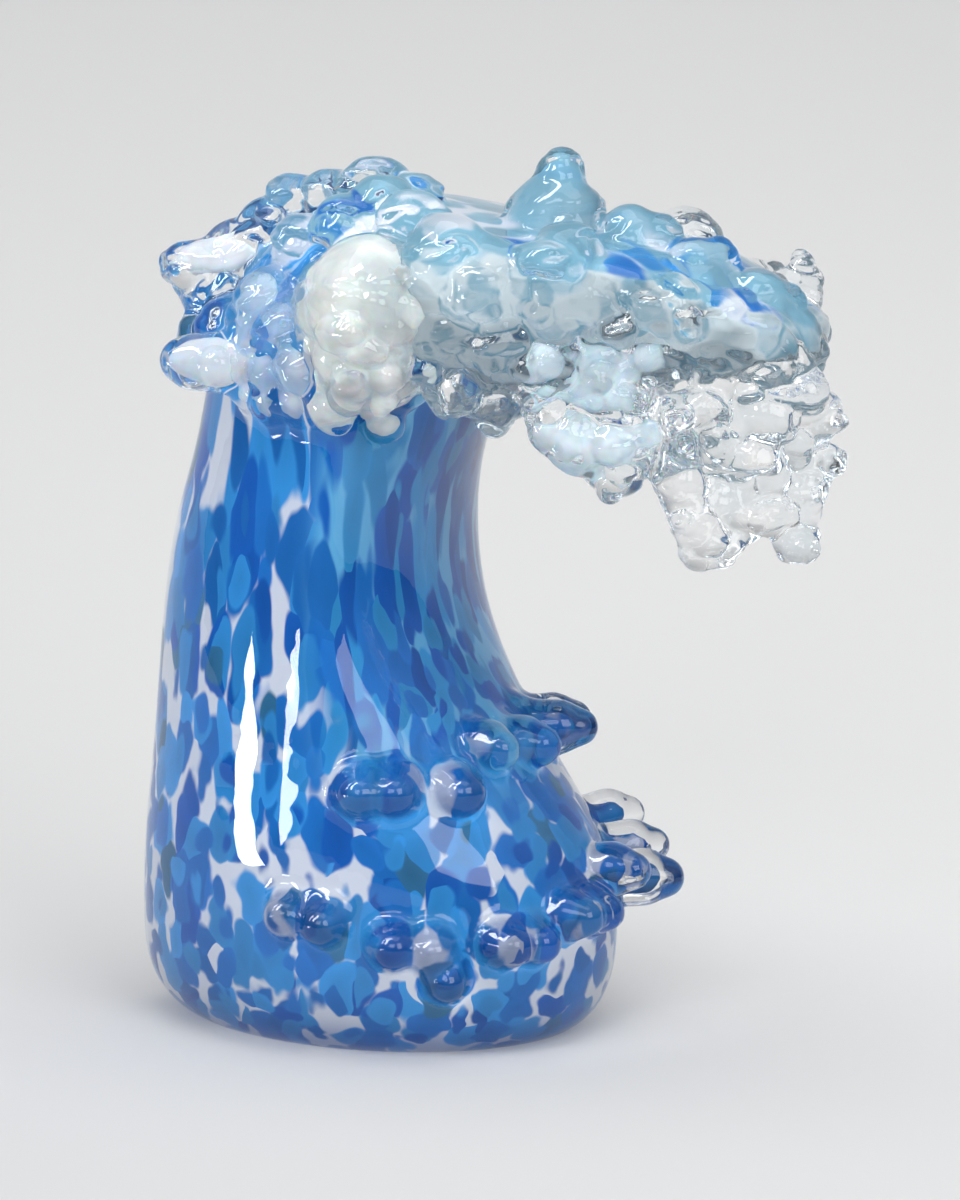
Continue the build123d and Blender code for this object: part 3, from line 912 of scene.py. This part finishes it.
# Shares of the floor's colour in its painted shade, far from the painted pool of light, and in its grain, and
# where the painted pool of light lies behind the wave and above the floor, in metres.
FLOOR_PAINTED_SHADE = 0.81
FLOOR_GRAIN = 0.985
LIT_POOL_BEHIND = (-0.3, 0.35)
LIT_POOL_HEIGHT = (0.6, 0.05)

# Lamps: name, place, aim, the way that its length runs, width, length and power. Boxes light the wave,
# strips and windows show in its gloss alone.
LAMPS = (
    ("overhead", (0.1, -0.15, 1.3), (0.0, 0.0, 0.1), (1.0, 0.0, 0.0), 1.0, 1.2, 5.2),
    ("front", (0.35, -1.5, 0.9), (0.0, 0.0, 0.1), (1.0, 0.0, 0.0), 0.5, 0.8, 4.2),
    ("right_box", (0.95, -0.62, 0.58), (0.05, 0.0, 0.10), (0.0, 0.0, 1.0), 0.60, 0.6, 4.2),
    ("left_strip", (-0.456, -0.456, 0.01), (-0.02, -0.05, 0.08), (-0.13, 0.17, 0.20), 0.07, 0.20, 1.0),
    ("left_window", (-0.50, -0.82, 0.075), (0.0, -0.05, 0.09), (-0.1, 0.0, 0.2), 0.08, 0.045, 0.2),
    ("key_strip", (-0.30, -0.75, 1.15), (0.02, 0.0, 0.15), (0.32, 0.15, 0.94), 0.24, 1.0, 13.0),
    ("twin_strip", (-0.80, -0.62, 1.0), (0.02, 0.0, 0.15), (0.32, 0.15, 0.94), 0.10, 0.8, 4.5),
)

# The room's light at the sides and overhead, how far up it turns, and what the camera sees of the room.
ROOM_SIDES = (0.06, 0.062, 0.064, 1.0)
ROOM_OVERHEAD = (0.60, 0.61, 0.62, 1.0)
ROOM_TURN = (-0.1, 0.7)
ROOM_SEEN = (0.72, 0.72, 0.72, 1.0)

# The camera: its aim in millimetres, its distance in metres, its sensor in millimetres, and the
# photograph's scale at the aim and its width, in pixels.
CAMERA_AIM = (22.7, 10.6, 118.0)
CAMERA_DISTANCE = 1.1
SENSOR_WIDTH = 36.0
PIXELS_PER_MM = 3.6
PHOTO_WIDTH = 960.0


class GLASSWAVE_OT_stage(bpy.types.Operator):
    """Set the floor, the backdrop, the lamps and the camera."""

    bl_idname = "glasswave.stage"
    bl_label = "Stage"

    def execute(self, context):
        scene = context.scene
        scene.view_settings.view_transform = "Standard"
        scene.cycles.max_bounces = GLASS_BOUNCES
        scene.cycles.transmission_bounces = GLASS_BOUNCES
        scene.cycles.glossy_bounces = GLOSS_BOUNCES
        scene.cycles.transparent_max_bounces = GLASS_BOUNCES
        self.sweep(scene)
        self.lamps(scene)
        self.world(scene)
        self.camera(scene)
        return {"FINISHED"}

    def sweep(self, scene):
        """A floor that turns up into a backdrop behind the wave."""
        sweep = bmesh.new()
        bmesh.ops.create_grid(sweep, x_segments=1, y_segments=1, size=FLOOR_REACH)
        far = [edge for edge in sweep.edges if all(vert.co.y > 0.0 for vert in edge.verts)]
        wall = bmesh.ops.extrude_edge_only(sweep, edges=far)
        risen = [part for part in wall["geom"] if isinstance(part, bmesh.types.BMVert)]
        bmesh.ops.translate(sweep, verts=risen, vec=(0.0, 0.0, BACKDROP_HEIGHT))
        bmesh.ops.bevel(
            sweep, geom=far, offset=BEND_RADIUS, offset_type="OFFSET", segments=BEND_SEGMENTS, profile=0.5,
            affect="EDGES", material=-1,
        )
        bmesh.ops.translate(sweep, verts=sweep.verts, vec=(0.0, -FLOOR_FORWARD, -FLOOR_DROP))
        bmesh.ops.rotate(sweep, verts=sweep.verts, matrix=Matrix.Rotation(VIEW_TURN, 3, "Z"))
        bmesh.ops.recalc_face_normals(sweep, faces=sweep.faces)
        if min(sweep.faces, key=lambda face: face.calc_center_median().z).normal.z < 0.0:
            bmesh.ops.reverse_faces(sweep, faces=sweep.faces)
        mesh = bpy.data.meshes.new("floor")
        sweep.to_mesh(mesh)
        sweep.free()
        mesh.shade_smooth()
        mesh.materials.append(self.paper(scene.glass_wave))
        made = bpy.data.objects.new("floor", mesh)
        scene.collection.objects.link(made)

    def paper(self, settings):
        """Pale paper with a painted pool of light low down behind the wave and painted shade further off, and
        open from its back.
        """
        material, tree, out = new_material("floor_paper")
        spot = place(tree, "ShaderNodeTexCoord").outputs["Object"]
        grain = noise_node(tree, spot, {"Scale": 6.0, "Detail": 2.0})
        behind = place(tree, "ShaderNodeVectorMath", {"operation": "DOT_PRODUCT"})
        behind.inputs[1].default_value = (-sin(VIEW_TURN), cos(VIEW_TURN), 0.0)
        wire(tree, spot, behind.inputs[0])
        # Painted light: the paper's colour is paler low down behind the wave and falls off to a painted shade
        # elsewhere.
        painted_light_pool = math_node(
            tree, "MULTIPLY", fade(tree, behind.outputs["Value"], *LIT_POOL_BEHIND),
            fade(tree, split(tree, spot)["Z"], *LIT_POOL_HEIGHT),
        )
        painted_shade_colour = tuple(FLOOR_PAINTED_SHADE * part for part in settings.floor)
        pale = tuple(FLOOR_GRAIN * part for part in settings.floor)
        sheet = blend_colours(tree, grain.outputs[0], (*pale, 1.0), (*settings.floor, 1.0))
        paper = place(tree, "ShaderNodeBsdfPrincipled", None, {"Roughness": 0.8, "Specular IOR Level": 0.0})
        wire(tree, blend_colours(tree, painted_light_pool, (*painted_shade_colour, 1.0), sheet), paper.inputs["Base Color"])
        side = place(tree, "ShaderNodeNewGeometry")
        let_through(tree, side.outputs["Backfacing"], paper, out)
        return material

    def lamps(self, scene):
        """Turn each lamp from its place to its aim."""
        for name, spot, aim, along, width, length, power in LAMPS:
            lamp = bpy.data.lights.new(name, "AREA")
            lamp.shape = "RECTANGLE"
            lamp.size = width
            lamp.size_y = length
            lamp.energy = power
            made = bpy.data.objects.new(name, lamp)
            made.visible_diffuse = not name.endswith(("strip", "window"))
            back = (Vector(spot) - Vector(aim)).normalized()
            across = Vector(along).cross(back).normalized()
            turned = Matrix((across, back.cross(across), back)).transposed()
            made.matrix_world = Matrix.Translation(Vector(spot)) @ turned.to_4x4()
            scene.collection.objects.link(made)

    def world(self, scene):
        """Soft room light, brighter overhead than at the sides, with a pale room behind the wave."""
        scene.world = bpy.data.worlds.new("room")
        scene.world.use_nodes = True
        tree = scene.world.node_tree
        up = split(tree, place(tree, "ShaderNodeTexCoord").outputs["Generated"])["Z"]
        light = blend_colours(tree, fade(tree, up, *ROOM_TURN), ROOM_SIDES, ROOM_OVERHEAD)
        path = place(tree, "ShaderNodeLightPath")
        room = tree.nodes["Background"]
        wire(tree, blend_colours(tree, path.outputs["Is Camera Ray"], light, ROOM_SEEN), room.inputs["Color"])
        room.inputs["Strength"].default_value = 1.0

    def camera(self, scene):
        """The photograph's view, with a lens fitted to its width of 960 pixels."""
        aim = Vector(CAMERA_AIM) * MM
        level = cos(VIEW_RISE)
        back = Vector((sin(VIEW_TURN) * level, -cos(VIEW_TURN) * level, sin(VIEW_RISE)))
        lens = bpy.data.cameras.new("camera")
        lens.sensor_fit = "HORIZONTAL"
        lens.sensor_width = SENSOR_WIDTH
        lens.lens = SENSOR_WIDTH * PIXELS_PER_MM * CAMERA_DISTANCE / MM / PHOTO_WIDTH
        lens.clip_start = 0.05
        made = bpy.data.objects.new("camera", lens)
        made.location = aim + back * CAMERA_DISTANCE
        made.rotation_euler = (-back).to_track_quat("-Z", "Y").to_euler()
        scene.collection.objects.link(made)
        scene.camera = made


OPERATORS = (
    GLASSWAVE_OT_core,
    GLASSWAVE_OT_chips,
    GLASSWAVE_OT_clear,
    GLASSWAVE_OT_foam_cores,
    GLASSWAVE_OT_stage,
)


class GLASSWAVE_PT_panel(bpy.types.Panel):
    """Lists the settings and the pieces of the wave in the sidebar."""

    bl_idname = "GLASSWAVE_PT_panel"
    bl_label = "Glass Wave"
    bl_space_type = "VIEW_3D"
    bl_region_type = "UI"
    bl_category = "Glass Wave"

    def draw(self, context):
        settings = context.scene.glass_wave
        for name in settings.__annotations__:
            self.layout.prop(settings, name)
        for operator in OPERATORS:
            self.layout.operator(operator.bl_idname)


CLASSES = (GlassWaveSettings, *OPERATORS, GLASSWAVE_PT_panel)


def register():
    """Add the classes, and the settings to every scene."""
    for item in CLASSES:
        bpy.utils.register_class(item)
    bpy.types.Scene.glass_wave = bpy.props.PointerProperty(type=GlassWaveSettings)


def unregister():
    """Take the settings and the classes away again."""
    del bpy.types.Scene.glass_wave
    for item in reversed(CLASSES):
        bpy.utils.unregister_class(item)


def main():
    """Make every piece in order."""
    register()
    for operator in OPERATORS:
        group, name = operator.bl_idname.split(".")
        getattr(getattr(bpy.ops, group), name)()


if __name__ == "__main__":
    main()
